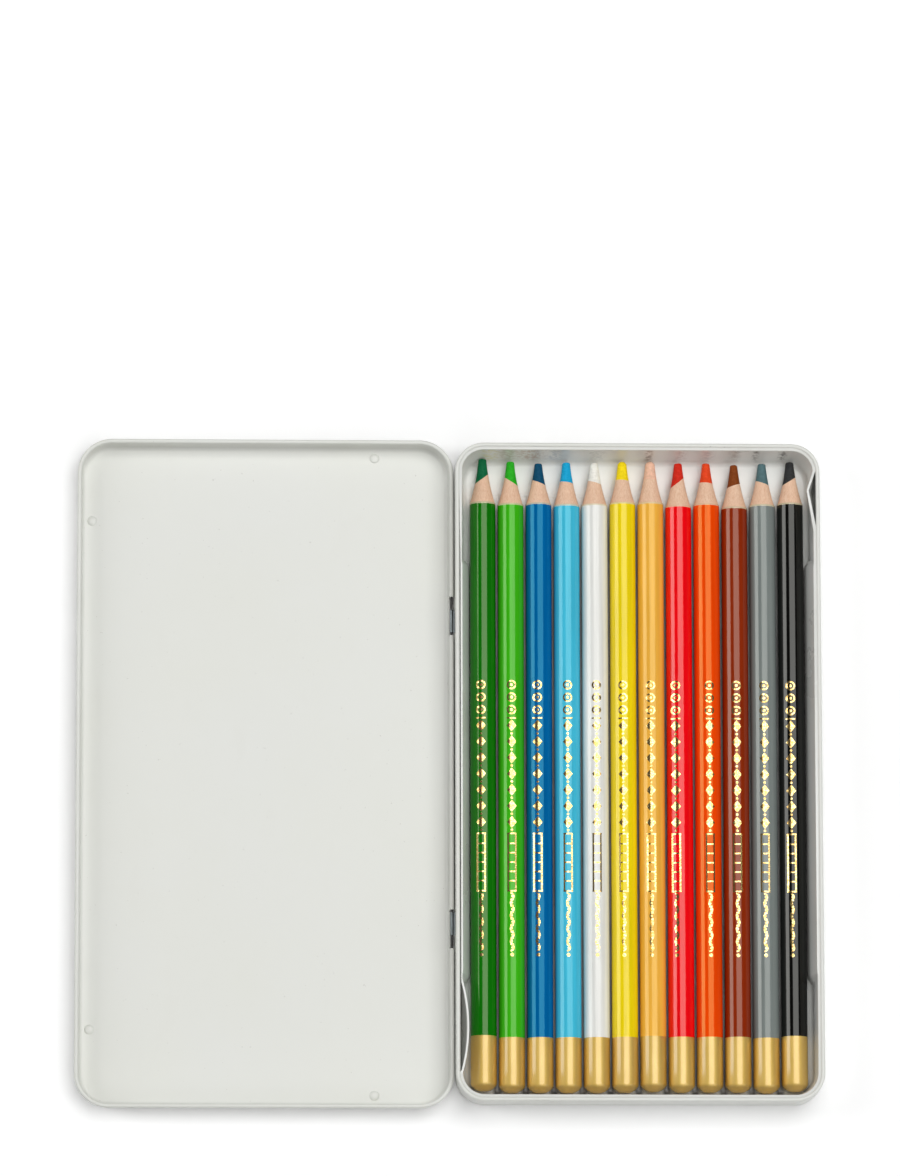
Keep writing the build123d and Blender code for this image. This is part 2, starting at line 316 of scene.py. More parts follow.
class Finish:
    """A material with one main shader, and short calls that add nodes to it.

    Scales of noise are counts to the metre.
    """

    def __init__(self, name, colour, roughness, metallic=0.0):
        self.material = bpy.data.materials.new(name)
        self.material.use_nodes = True
        self.tree = self.material.node_tree
        self.shader = self.tree.nodes["Principled BSDF"]
        self.set(self.shader, {"Base Color": colour, "Roughness": roughness, "Metallic": metallic})
        self.place = self.tree.nodes.new("ShaderNodeTexCoord").outputs["Object"]

    def set(self, node, values):
        for key, value in values.items():
            if isinstance(value, bpy.types.NodeSocket):
                self.tree.links.new(value, node.inputs[key])
            else:
                node.inputs[key].default_value = value

    def node(self, kind, values, **settings):
        node = self.tree.nodes.new("ShaderNode" + kind)
        for key, value in settings.items():
            setattr(node, key, value)
        self.set(node, values)
        return node

    def stretched(self, scale, location=(0, 0, 0)):
        values = {"Vector": self.place, "Scale": scale, "Location": location}
        return self.node("Mapping", values).outputs[0]

    def axes(self):
        """The place along X, Y and Z."""
        return self.node("SeparateXYZ", {"Vector": self.place}).outputs

    def noise(self, vector, scale, detail=3.0, roughness=0.5):
        values = {"Vector": vector, "Scale": scale, "Detail": detail, "Roughness": roughness}
        return self.node("TexNoise", values).outputs["Fac"]

    def drawn_noise(self, scale, detail=3.0, roughness=0.5, location=(0, 0, 0)):
        """Noise with a scale of its own along each axis."""
        return self.noise(self.stretched(scale, location), 1.0, detail, roughness)

    def ramp(self, fac, low, high):
        node = self.node("ValToRGB", {"Fac": fac})
        node.color_ramp.elements[0].position = low
        node.color_ramp.elements[1].position = high
        return node.outputs["Color"]

    def span(self, value, from_low, from_high, to_low, to_high):
        values = {
            "Value": value, "From Min": from_low, "From Max": from_high, "To Min": to_low, "To Max": to_high,
        }
        return self.node("MapRange", values).outputs["Result"]

    def across_noise(self, noise, low, high):
        """A value that goes from low to high over the middle of a noise's range."""
        return self.span(noise, 0.3, 0.7, low, high)

    def zone(self, place, low, high, first=0.0, last=1.0):
        """A value that goes from first to last while a place goes from low to high."""
        return self.span(place, low * mm, high * mm, first, last)

    def maths(self, operation, first, second=0.0):
        return self.node("Math", {0: first, 1: second}, operation=operation).outputs[0]

    def times(self, first, *others):
        for other in others:
            first = self.maths("MULTIPLY", first, other)
        return first

    def mixed(self, fac, first, second):
        """A mix of two colours, which have the sockets 6, 7 and 2 of their node."""
        node = self.node("Mix", {}, data_type="RGBA")
        self.set(node, {0: fac, 6: first, 7: second})
        return node.outputs[2]

    def bump(self, height, distance, strength, under=None):
        values = {"Height": height, "Distance": distance * mm, "Strength": strength}
        if under is not None:
            values["Normal"] = under
        return self.node("Bump", values).outputs["Normal"]

    def finish(self, colour, roughness, normal):
        self.set(self.shader, {"Base Color": colour, "Roughness": roughness, "Normal": normal})
        return self.material


def lacquer(name, colour, shine, paint_edge):
    """Sprayed pencil lacquer: clear gloss, faint streaks, dust nibs, pale primer at the cut edge."""
    look = Finish(name, colour, 0.09)
    look.set(look.shader, {"IOR": 1.5, "Specular Tint": shine})
    streaks = look.drawn_noise((900, 30, 900), 4.0)
    cloud = look.noise(look.place, 55.0, 2.0)
    toned = look.mixed(look.ramp(streaks, 0.35, 0.7), deeper(colour, 0.86), colour)
    ragged = look.times(look.noise(look.place, 1900.0, 2.0), primer_wander * mm)
    start = paint_edge - primer_line - primer_wander / 2
    along = look.maths("ADD", look.axes()[1], ragged)
    cut = look.zone(along, start, start + primer_fade, 0, 0.75)
    toned = look.mixed(cut, toned, seen(226, 212, 176))
    nibs = look.ramp(look.noise(look.place, 2600.0, 1.0), 0.72, 0.8)
    ripple = look.bump(look.drawn_noise((500, 60, 500), 2.0), 0.02, 0.5)
    return look.finish(toned, look.across_noise(cloud, 0.07, 0.11), look.bump(nibs, 0.02, 0.35, ripple))


def gold_dip():
    """Gold lacquer on the dipped butts."""
    look = Finish("gold_dip", seen(222, 190, 106), 0.6, 1.0)
    look.set(look.shader, {"Coat Weight": 1.0, "Coat Roughness": 0.09, "Coat IOR": 1.55})
    cloud = look.drawn_noise((260, 90, 260), 4.0)
    toned = look.mixed(look.ramp(cloud, 0.3, 0.75), seen(217, 184, 99), seen(227, 196, 113))
    flakes = look.noise(look.place, 5200.0, 2.0)
    return look.finish(toned, look.across_noise(flakes, 0.56, 0.66), look.bump(flakes, 0.004, 0.3))


def gold_foil():
    """Stamped foil on the barrels, rubbed a little thin."""
    look = Finish("gold_foil", seen(238, 208, 130), 0.3, 1.0)
    worn = look.noise(look.place, 2400.0, 4.0)
    toned = look.mixed(look.ramp(worn, 0.42, 0.62), seen(190, 150, 84), seen(252, 230, 158))
    return look.finish(toned, look.across_noise(worn, 0.24, 0.13), look.bump(worn, 0.01, 0.25))


def bare_wood():
    """Sharpened light wood: fine straight grain, pores, and soft rings of tone."""
    look = Finish("bare_wood", seen(232, 186, 152), 0.62)
    grain = look.drawn_noise((5200, 160, 5200), 5.0, 0.62)
    broad = look.drawn_noise((620, 60, 620))
    toned = look.mixed(look.ramp(grain, 0.32, 0.72), seen(219, 173, 140), seen(244, 213, 186))
    warmed = look.mixed(0.3, toned, seen(232, 184, 152))
    toned = look.mixed(look.ramp(broad, 0.35, 0.7), toned, warmed)
    pores = look.ramp(look.drawn_noise((7600, 420, 7600), 2.0), 0.66, 0.74)
    toned = look.mixed(look.times(pores, 0.35), toned, seen(170, 112, 76))
    return look.finish(toned, look.across_noise(grain, 0.55, 0.72), look.bump(grain, 0.04, 0.6))


def pigment(name, colour):
    """Waxy coloured lead: mottled tone, soft gloss, fine turning marks."""
    look = Finish(name, colour, 0.5)
    look.set(look.shader, {"IOR": 1.33, "Specular IOR Level": 0.2})
    mottle = look.noise(look.place, 1500.0, 4.0)
    pale = (*(min(1.0, 1.06 * part + 0.008) for part in colour[:3]), 1.0)
    toned = look.mixed(look.ramp(mottle, 0.3, 0.72), deeper(colour, 0.84), pale)
    turning = look.drawn_noise((500, 5200, 500), 2.0)
    normal = look.bump(turning, 0.03, 0.4, look.bump(mottle, 0.04, 0.4))
    return look.finish(toned, look.across_noise(mottle, 0.45, 0.6), normal)


def enamel():
    """White stoving enamel on tinplate: satin gloss, faint orange peel, smudges and specks."""
    look = Finish("white_enamel", seen(225, 226, 220), 0.4)
    look.set(look.shader, {"IOR": 1.42})
    cloud = look.noise(look.place, 22.0, 4.0)
    toned = look.mixed(look.ramp(cloud, 0.3, 0.7), seen(223, 224, 217), seen(227, 228, 223))
    rubbed = look.ramp(look.drawn_noise((90, 34, 90), 6.0, 0.6, (3, 1, 0)), 0.58, 0.72)
    toned = look.mixed(look.times(rubbed, 0.18), toned, seen(219, 219, 212))
    specks = look.ramp(look.noise(look.place, 1150.0, 1.0), 0.785, 0.8)
    toned = look.mixed(look.times(specks, 0.3), toned, seen(160, 156, 148))
    peel = look.bump(look.noise(look.place, 900.0, 2.0), 0.02, 0.35)
    return look.finish(toned, look.across_noise(cloud, 0.28, 0.4), peel)


# Rub marks on the tray's wall before the tips: place along X, reach, colour as seen, amount
scuffs = [
    (-41.0, 3.4, (214, 208, 110), 0.7),
    (-36.0, 4.4, (164, 140, 116), 0.5),
    (-29.5, 5.0, (172, 134, 104), 0.75),
    (-23.0, 3.4, (120, 140, 160), 0.5),
    (-10.5, 2.6, (132, 136, 140), 0.35),
    (3.4, 1.4, (90, 60, 52), 0.8),
    (12.5, 2.2, (150, 120, 112), 0.35),
    (20.0, 2.4, (120, 140, 150), 0.35),
    (27.5, 2.2, (120, 108, 98), 0.4),
    (33.2, 1.3, (84, 70, 62), 0.85),
    (40.7, 1.6, (52, 52, 54), 0.85),
]

# Where the rub marks fade in or out: along Y, at their top and at their foot
scuff_wall, scuff_top, scuff_foot = (87.2, 88.0), (10.4, 11.2), (2.0, 5.0)

# Where the dust and the painted shade between the pencils fade out: in height, towards the tips, to the
# sides and away from a divider
dust_and_shade_top, dust_and_shade_end, dust_and_shade_side, dust_and_shade_edge = (2.2, 3.4), (68.0, 78.0), (45.5, 47.5), (0.6, 1.6)
thin_dust_and_shade = 0.12


def scuffed(look, axes, toned):
    """Adds the rub marks, on the wall before the tips only."""
    grit = look.ramp(look.noise(look.place, 900.0, 5.0, 0.65), 0.42, 0.58)
    wall = look.times(
        look.zone(axes[1], *scuff_wall),
        look.zone(axes[2], *scuff_top, 1, 0),
        look.zone(axes[2], *scuff_foot),
    )
    for x, reach, colour, amount in scuffs:
        offset = look.maths("ABSOLUTE", look.maths("SUBTRACT", axes[0], x * mm))
        beside = look.zone(offset, reach, 0, 0, amount)
        toned = look.mixed(look.times(beside, wall, grit), toned, seen(*colour))
    return toned


def dust_and_painted_shade(look, axes, toned):
    """Darkens the floor along the dividers: painted shade between the pencils, with a little dust."""
    from_divider = look.maths("PINGPONG", axes[0], pencil_pitch / 2 * mm)
    dust_and_shade_patches = look.drawn_noise((420, 60, 420), 4.0)
    dust_and_shade = look.times(
        look.zone(axes[2], *dust_and_shade_top, 1, 0),
        look.zone(axes[1], *dust_and_shade_end, 1, 0),
        look.zone(look.maths("ABSOLUTE", axes[0]), *dust_and_shade_side, 1, 0),
        look.zone(from_divider, *dust_and_shade_edge, 1, thin_dust_and_shade),
        look.across_noise(dust_and_shade_patches, 0.75, 0.95),
    )
    # Near black brown: painted shade in the gaps between the pencils, with a little dust
    return look.mixed(dust_and_shade, toned, seen(60, 57, 53))


def tray_plastic():
    """Thin formed plastic sheet: soft gloss, slight draw ripples, rub marks, and dust with painted shade
    between the pencils.
    """
    look = Finish("tray_plastic", seen(229, 230, 226), 0.3)
    look.set(look.shader, {"Coat Weight": 0.2, "Coat Roughness": 0.12})
    cloud = look.noise(look.place, 60.0, 4.0)
    toned = look.mixed(look.ramp(cloud, 0.3, 0.7), seen(226, 227, 222), seen(232, 233, 229))
    axes = look.axes()
    toned = dust_and_painted_shade(look, axes, scuffed(look, axes, toned))
    ripple = look.bump(look.drawn_noise((160, 90, 160)), 0.12, 0.4)
    return look.finish(toned, look.across_noise(cloud, 0.26, 0.38), ripple)


def hinge_steel():
    """Dark steel wire of the hinge pins, with fine drawing lines; its near black colour is partly painted
    shade for the dark inside the hinge slots.
    """
    look = Finish("hinge_steel", seen(20, 19, 18), 0.6)
    drawn = look.drawn_noise((9000, 500, 9000))
    # Near black tones: partly painted shade inside the hinge slots
    toned = look.mixed(look.ramp(drawn, 0.3, 0.7), seen(12, 12, 11), seen(28, 27, 25))
    return look.finish(toned, look.across_noise(drawn, 0.3, 0.5), look.bump(drawn, 0.01, 0.4))


def bare_tin():
    """Tinplate rubbed bare where the hinge tabs roll round their pins."""
    look = Finish("bare_tin", seen(112, 118, 119), 0.36, 1.0)
    rubbed = look.drawn_noise((2600, 400, 2600), 4.0)
    toned = look.mixed(look.ramp(rubbed, 0.3, 0.7), seen(92, 97, 98), seen(132, 139, 141))
    return look.finish(toned, look.across_noise(rubbed, 0.3, 0.46), look.bump(rubbed, 0.01, 0.4))


def dress(piece, material):
    piece.data.materials.clear()
    piece.data.materials.append(material)


white_enamel = enamel()
plastic = tray_plastic()
steel = hinge_steel()
tinplate = bare_tin()
gold = gold_dip()
foil = gold_foil()
wood = bare_wood()

for node in ("hinge_pin_tip_end", "hinge_pin_butt_end"):
    dress(nodes[node], steel)


# Lid and base


def arc(eye, radius, start, turn, steps):
    points = []
    for step in range(steps + 1):
        angle = math.radians(start + turn * step / steps)
        points.append((eye[0] + radius * math.cos(angle), eye[1] + radius * math.sin(angle)))
    return points


def drawn_line(name, points, y):
    """A line of edges in a plane across Y: one vertex, extruded from point to point."""
    bpy.ops.object.select_all(action="DESELECT")
    bpy.ops.mesh.primitive_plane_add(size=mm, location=(0, 0, 0))
    piece = active(name)
    start_edit()
    bpy.ops.mesh.merge(type="COLLAPSE")
    bpy.ops.transform.translate(value=(points[0][0] * mm, y * mm, points[0][1] * mm))
    for (x, z), (next_x, next_z) in zip(points, points[1:]):
        pull(next_x - x, 0, next_z - z)
    end_edit()
    return piece


def rolled_pan(name, width, length, corner, section, floor_up):
    """One quarter is spun and extruded from a section, mirrored, and its floor filled.

    The section's points are a reach past the corner's axis and a height.
    """
    axis_x = width / 2 - corner
    axis_y = length / 2 - corner
    pan = drawn_line(name, [(axis_x + reach, height) for reach, height in section], axis_y)
    pick(pan, everywhere)
    eye = (axis_x * mm, axis_y * mm, 0)
    bpy.ops.mesh.spin(steps=corner_steps, angle=-math.pi / 2, center=eye, axis=(0, 0, 1))
    end_edit()
    if max(vertex.co.y for vertex in pan.data.vertices) < (length / 2 - 1) * mm:
        raise RuntimeError("the corner was spun the wrong way")
    pick(pan, lambda place: near(place.y, axis_y) and place.x > axis_x * mm)
    pull(0, -axis_y, 0)
    end_edit()
    pick(pan, lambda place: near(place.x, axis_x) and place.y > axis_y * mm)
    pull(-axis_x, 0, 0)
    end_edit()
    apply_modifier(pan, "MIRROR", use_axis=(True, True, False), merge_threshold=0.01 * mm)
    inner_reach, floor_z = section[0]
    floor_x, floor_y = ((axis + inner_reach + touch) * mm for axis in (axis_x, axis_y))
    pick(pan, lambda place: near(place.z, floor_z) and abs(place.x) < floor_x and abs(place.y) < floor_y)
    bpy.ops.mesh.edge_face_add()
    end_edit()
    face_up(pan, floor_up)
    apply_modifier(pan, "SOLIDIFY", thickness=tin_sheet * mm, offset=-1)
    return pan


def make_pip(x, y):
    """A low dome, with the part below the lid's underside flattened so that it stays in the sheet."""
    bpy.ops.object.select_all(action="DESELECT")
    bpy.ops.mesh.primitive_uv_sphere_add(
        segments=28, ring_count=14, radius=pip_radius * mm, location=(x * mm, y * mm, pip_level * mm),
    )
    pip = active("pip")
    start_edit()
    scale_about((1, 1, pip_flatness), x, y, pip_level)
    end_edit()
    pick(pip, lambda place: place.z < 0)
    scale_about((1, 1, pip_foot), x, y, pip_level)
    end_edit()
    return pip


def make_lid():
    section = lid_crown + [(lid_corner - lid_bend, tin_sheet)]
    section += arc((lid_corner - lid_bend, lid_bend), lid_bend - tin_sheet, -90, 90, bend_steps)[1:]
    eye = (lid_corner - tin_sheet + curl_radius, lid_curl_height)
    section += arc(eye, curl_radius, 180, -lid_curl_turn, curl_steps)
    lid = rolled_pan("lid_shell", lid_width, lid_length, lid_corner, section, True)
    select_only(lid)
    lid.location.x = lid_middle_x * mm
    fix_place()
    for side in (-1, 1):
        middle = side * slot_middle
        cut_box(
            lid,
            (hinge_x - slot_inside, hinge_x + slot_outside),
            (middle - slot_length / 2, middle + slot_length / 2),
            (hinge_z - slot_drop, hinge_z + slot_rise),
        )
    join(lid, *[make_pip(lid_middle_x + x, y) for x, y in pip_places])
    settle(lid)
    dress(lid, white_enamel)
    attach(lid, "lid")
    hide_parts("lid_tin")


def make_tab(middle):
    """The base's back wall rolled round a hinge pin."""
    line = [(tab_root - base_width / 2, hinge_z - tab_radius)]
    line += arc((hinge_x, hinge_z), tab_radius, 270, -tab_turn, tab_steps)
    tab = drawn_line("tab", line, middle - tab_length / 2)
    pick(tab, everywhere)
    pull(0, tab_length, 0)
    end_edit()
    face_up(tab, False)
    apply_modifier(tab, "SOLIDIFY", thickness=tab_sheet * mm, offset=-1)
    return tab


def make_base():
    section = [(floor_reach, 0), (base_corner - base_bend, 0)]
    section += arc((base_corner - base_bend, base_bend), base_bend, -90, 90, bend_steps)[1:]
    eye = (base_corner - curl_radius, base_curl_height)
    section += arc(eye, curl_radius, 0, base_curl_turn, curl_steps)
    base = rolled_pan("base_shell", base_width, base_length, base_corner, section, False)
    back = -base_width / 2
    window_half = tab_length / 2 + window_margin
    tabs = []
    for side in (-1, 1):
        middle = side * tab_middle
        cut_box(
            base,
            (back - tin_sheet, back + 2 * tin_sheet),
            (middle - window_half, middle + window_half),
            (window_low, window_high),
        )
        tabs.append(make_tab(middle))
    rolled = join(*tabs)
    rolled.name = "hinge_tabs"
    settle(rolled)
    dress(rolled, tinplate)
    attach(rolled, "base")
    settle(base)
    dress(base, white_enamel)
    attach(base, "base")
    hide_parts("base_tin")


# Tray: a form of its hollow is made twice, larger by the sheet and then as it is, and the second
# is taken from the first. Each form takes how far it grows past the hollow's faces.


def cap(piece, z):
    """Fills the open end of a form at one height."""
    pick(piece, lambda place: near(place.z, z))
    bpy.ops.mesh.edge_face_add()
    face_outwards()
    return piece


def tray_hollow(grow, rise):
    """The drafted hollow. Where it rises past the tray's top, it also rounds the rim's inner edge."""
    rounding = rim_rounding if rise else 0
    half_width = tray_half_width + grow + rounding
    half_length = tray_half_length + grow + rounding
    top = tray_top + rise
    form = rectangle("form", (-half_width, half_width), (-half_length, half_length), top)
    bpy.ops.mesh.bevel(offset=(tray_corner + grow) * mm, segments=10, affect="VERTICES")
    if rounding:
        pull(0, 0, -rise)
        for step in range(rim_steps):
            low, high = (math.pi / 2 * share / rim_steps for share in (step, step + 1))
            pull(0, 0, -rounding * (math.cos(low) - math.cos(high)))
            inward = rounding * (math.sin(high) - math.sin(low))
            scale_about((1 - inward / half_width, 1 - inward / half_length, 1), 0, 0, 0)
            half_width -= inward
            half_length -= inward
    depth = tray_top - rounding - tray_floor + grow
    end_draft = (tip_end_draft + butt_end_draft) / 2
    shift = (butt_end_draft - tip_end_draft) / 2 * depth
    pull(0, shift, -depth)
    drawn_in = (1 - side_draft * depth / half_width, 1 - end_draft * depth / half_length, 1)
    scale_about(drawn_in, 0, shift, 0)
    bpy.ops.mesh.bevel(offset=(tray_floor_round + grow) * mm, segments=5, affect="EDGES")
    end_edit()
    return cap(form, top)


def shoulder(side, grow):
    """What the sloped finger panel takes from the hollow along one long wall."""
    slope = (tray_half_width - shoulder_foot) / (tray_top - shoulder_height)
    foot = shoulder_foot + grow
    across = sorted((side * foot, side * (foot + shoulder_reach)))
    wedge = rectangle("shoulder", across, shoulder_ends, -above)
    end_edit()
    pick(wedge, lambda place: near(abs(place.x), foot))
    bpy.ops.mesh.bevel(offset=(shoulder_round - grow) * mm, segments=7, affect="VERTICES")
    bpy.ops.mesh.select_all(action="SELECT")
    pull(0, 0, shoulder_height + above)
    climb = tray_top + above - shoulder_height
    pull(side * slope * climb, 0, climb)
    end_edit()
    return cap(wedge, -above)


def sprung(tool, lean):
    """Slants a flat outline outwards on its way down, so the wall leans in at the top only."""
    drop = edge_spring_height + 2 * above
    pull(-lean / edge_spring_height * drop, 0, -drop)
    end_edit()
    return cap(tool, tray_top + above)


def bow(grow):
    """What the bowed free edge takes from the hollow at the lower left."""
    radius = bow_length**2 / (8 * bow_depth) + bow_depth / 2
    x = -tray_half_width + bow_depth - radius + bow_depth / edge_spring_height * above
    bpy.ops.object.select_all(action="DESELECT")
    bpy.ops.mesh.primitive_circle_add(
        vertices=320, radius=(radius - grow) * mm, fill_type="NGON",
        location=(x * mm, bow_middle * mm, (tray_top + above) * mm),
    )
    tool = active("bow")
    fix_place()
    start_edit()
    return sprung(tool, bow_depth)


def kink(grow):
    """What the kinked free edge takes from the hollow at the upper right."""
    wall = tray_half_width + grow
    inner = wall - kink_depth
    outside = wall + above
    spread = (outside - inner) / kink_depth
    ends = [kink_middle + (end - kink_middle) * spread for end in kink_ends]
    shift = kink_depth / edge_spring_height * above
    tool = rectangle("kink", (inner - shift, outside - shift), ends, tray_top + above)
    end_edit()
    pick(tool, lambda place: near(place.x, inner - shift))
    bpy.ops.mesh.merge(type="CENTER")
    bpy.ops.transform.translate(value=(0, (kink_middle - sum(ends) / 2) * mm, 0))
    bpy.ops.mesh.select_all(action="SELECT")
    return sprung(tool, -kink_depth)


def tray_form(grow, rise):
    """The tray's whole hollow: grooves, dividers, finger panels and sprung edges."""
    form = tray_hollow(grow, rise)
    cut_box(
        form,
        (-row_half * pencil_pitch, row_half * pencil_pitch),
        (divider_butt_short - row_end + grow, row_end - divider_tip_short - grow),
        (-above, tray_floor + divider_height - grow),
    )
    start = groove_butt_short - row_end - grow
    end = row_end - groove_tip_short + grow
    for index in range(len(pencils)):
        x = (index - row_half) * pencil_pitch
        bpy.ops.object.select_all(action="DESELECT")
        bpy.ops.mesh.primitive_cylinder_add(
            vertices=64, radius=(groove_radius + grow) * mm, depth=(end - start) * mm,
            location=(x * mm, (start + end) / 2 * mm, groove_axis_z * mm), rotation=(math.pi / 2, 0, 0),
        )
        groove = active("groove")
        fix_place()
        combine(form, groove, "UNION")
    for cutter in (shoulder(1, grow), shoulder(-1, grow), bow(grow), kink(grow)):
        combine(form, cutter)
    return form


def on_lip(place):
    """True on the outer edge of the tray's rim, except along the free part of its left wall."""
    across = abs(place.x) / mm - tray_half_width + tray_corner
    along = abs(place.y) / mm - tray_half_length + tray_corner
    reach = math.hypot(across, along) if min(across, along) > 0 else max(across, along)
    free = place.x < 0 and abs(place.y) < free_wall_half * mm
    return near(place.z, tray_top) and reach > tray_corner + 0.8 * tray_sheet and not free


def make_tray():
    tray = tray_form(tray_sheet, 0)
    tray.name = "tray_shell"
    combine(tray, tray_form(0, above))
    pick(tray, lambda place: near(place.z, tray_top), faces=True)
    bpy.ops.mesh.quads_convert_to_tris()
    end_edit()
    pick(tray, on_lip)
    halves = (tray_half_width + tray_sheet, tray_half_length + tray_sheet)
    scale_about((*(1 + lip_reach / half for half in halves), 1), 0, 0, 0)
    bpy.ops.transform.translate(value=(0, 0, lip_lift * mm))
    end_edit()
    settle(tray, 30)
    dress(tray, plastic)
    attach(tray, "base")
    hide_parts("pencil_tray")


make_lid()
make_base()
make_tray()


# Pencils


class Barrel:
    """Where one pencil lies, and how thick it is with its paint."""

    def __init__(self, name, cone):
        low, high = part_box("casing_" + name)
        self.name = name
        self.x = (low.x + high.x) / 2 / mm
        self.z = (low.z + high.z) / 2 / mm
        self.radius = (high.x - low.x) / 2 / mm + paint_build
        self.butt = low.y / mm
        self.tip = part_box("lead_" + name)[1].y / mm
        self.paint_edge = self.tip - cone


def turned(name, x, z, stations, side_count=sides):
    """A piece turned about a line along Y: a disc, extruded and resized from station to station."""
    y, radius = stations[0]
    bpy.ops.object.select_all(action="DESELECT")
    bpy.ops.mesh.primitive_circle_add(
        vertices=side_count, radius=radius * mm, fill_type="NGON",
        location=(x * mm, y * mm, z * mm), rotation=(math.pi / 2, 0, 0),
    )
    piece = active(name)
    start_edit()
    for next_y, next_radius in stations[1:]:
        pull(0, next_y - y, 0)
        share = next_radius / radius
        scale_about((share, 1, share), x, next_y, z)
        y, radius = next_y, next_radius
    face_outwards()
    fix_place()
    return piece


def open_end(piece, level):
    """Takes off the flat end face that lies at one place along Y."""
    pick(piece, lambda place: near(place.y, level, 0.005), faces=True)
    bpy.ops.mesh.delete(type="ONLY_FACE")
    end_edit()


def roll(piece, x, z, turn):
    """Rolls a piece about the pencil's own axis."""
    select_only(piece)
    start_edit()
    eye = (x * mm, 0, z * mm)
    bpy.ops.transform.rotate(value=math.radians(turn), orient_axis="Y", center_override=eye)
    end_edit()


def cone_stations(start, start_radius, end, end_radius):
    """Hollow-ground cone: a straight taper, drawn in by an arc."""
    stations = []
    for step in range(1, cone_steps + 1):
        share = step / cone_steps
        radius = start_radius + (end_radius - start_radius) * share
        radius -= cone_hollow * 4 * share * (1 - share)
        stations.append((start + (end - start) * share, radius))
    return stations


def tip_stations(tip, radius, worn):
    """The point's end: rounded by use, or flat with a broken edge."""
    if worn:
        return [(tip - before, share * radius) for before, share in worn_tip]
    return [(tip - before, radius - less) for before, less in sharp_tip]


def butt_profile():
    """From the end towards the barrel: a shallow dome, then a tight shoulder, as reach and inset."""
    turn = math.radians(butt_turn)
    end_turn = math.radians(butt_end_turn)
    shoulder_inset = butt_shoulder * (1 - math.cos(turn))
    line = []
    for step in range(5):
        angle = end_turn - (end_turn - turn) * step / 5
        reach = butt_dome * (math.sin(end_turn) - math.sin(angle))
        line.append((reach, shoulder_inset + butt_dome * (math.cos(turn) - math.cos(angle))))
    foot = butt_dome * (math.sin(end_turn) - math.sin(turn))
    for step in range(5):
        angle = turn * (1 - step / 4)
        reach = foot + butt_shoulder * (math.sin(turn) - math.sin(angle))
        line.append((reach, butt_shoulder * (1 - math.cos(angle))))
    return line


def make_core(barrel, lead_shift, tip_radius, turn, lead_colour):
    """The sharpened wood and its lead: one turned form, parted by the lead's rod."""
    name, x, z = barrel.name, barrel.x, barrel.z
    inner = barrel.radius - paint_thickness
    worn = tip_radius > worn_tip_radius
    cone_end = barrel.tip - (worn_tip_round if worn else sharp_tip_round)
    body = [
        (barrel.butt + wood_butt_gap, inner - wood_butt_inset),
        (barrel.butt + wood_butt_length, inner),
        (barrel.paint_edge - collar, inner),
        (barrel.paint_edge + touch, inner),
        *cone_stations(barrel.paint_edge, inner, cone_end, tip_radius + cone_foot_extra),
        *tip_stations(barrel.tip, tip_radius, worn),
    ]
    casing = turned(f"wood_{name}", x, z, body)
    roll(casing, x, z, turn)
    lead = copy_of(casing, f"pigment_{name}")
    rod_ends = [(barrel.butt - 1, lead_radius), (barrel.tip + 1, lead_radius)]
    rod = turned("rod", x + lead_shift, z, rod_ends, lead_sides)
    for piece, operation in ((lead, "INTERSECT"), (casing, "DIFFERENCE")):
        apply_modifier(piece, "BOOLEAN", operation=operation, object=rod, solver="EXACT")
        settle(piece, 30)
        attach(piece, "pencil_" + name)
    remove(rod)
    dress(casing, wood)
    dress(lead, pigment("pigment_" + name, seen(*lead_colour)))
    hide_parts("lead_" + name)


def make_coat(barrel, colour):
    name, radius, paint_edge = barrel.name, barrel.radius, barrel.paint_edge
    start = barrel.butt + dip_length - dip_overlap
    coat = turned(f"coat_{name}", barrel.x, barrel.z, [
        (start, radius),
        (start + collar, radius),
        (paint_edge - collar, radius),
        (paint_edge - paint_edge_length, radius),
        (paint_edge, radius - paint_edge_drop),
    ])
    open_end(coat, start)
    open_end(coat, paint_edge)
    apply_modifier(coat, "SOLIDIFY", thickness=(paint_thickness - paint_gap) * mm, offset=-1)
    settle(coat, 30)
    dress(coat, lacquer("lacquer_" + name, seen(*colour), shines.get(name, plain_shine), paint_edge))
    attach(coat, "pencil_" + name)
    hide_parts("casing_" + name)
    return coat


def make_dip(barrel):
    name, butt = barrel.name, barrel.butt
    radius = barrel.radius + dip_build
    stations = [(butt + reach, radius - inset) for reach, inset in butt_profile()]
    end = butt + dip_length
    stations += [(end - dip_edge_length, radius), (end, radius - dip_edge_drop)]
    dip = turned(f"dip_{name}", barrel.x, barrel.z, stations)
    open_end(dip, end)
    apply_modifier(dip, "SOLIDIFY", thickness=dip_sheet * mm, offset=-1)
    settle(dip, 30)
    dress(dip, gold)
    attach(dip, "pencil_" + name)


# Foil ornament


def flat_part(width, length, y, x=0.0, cuts=0):
    part = rectangle("foil", (-width / 2, width / 2), (-length / 2, length / 2), 0)
    if cuts:
        bpy.ops.mesh.subdivide(number_cuts=cuts)
    bpy.ops.transform.translate(value=(x * mm, y * mm, 0))
    end_edit()
    return part


def lozenge(width, length, y):
    """A square on its corner, drawn out to a width and a length."""
    side = math.sqrt(0.5)
    part = flat_part(side, side, 0, cuts=4)
    pick(part, everywhere)
    bpy.ops.transform.rotate(value=math.radians(45), orient_axis="Z", center_override=(0, 0, 0))
    scale_about((width, length, 1), 0, 0, 0)
    bpy.ops.transform.translate(value=(0, y * mm, 0))
    end_edit()
    return part


def ring(outer, inner, y, x=0.0):
    """A flat ring, or a dot when the inner radius is nothing."""
    bpy.ops.object.select_all(action="DESELECT")
    bpy.ops.mesh.primitive_circle_add(
        vertices=foil_sides, radius=outer * mm, location=(x * mm, y * mm, 0),
        fill_type="NOTHING" if inner else "TRIFAN",
    )
    part = active("foil")
    fix_place()
    if inner:
        pick(part, everywhere)
        pull(0, 0, 0)
        scale_about((inner / outer, inner / outer, 1), 0, y, 0)
        end_edit()
    return part


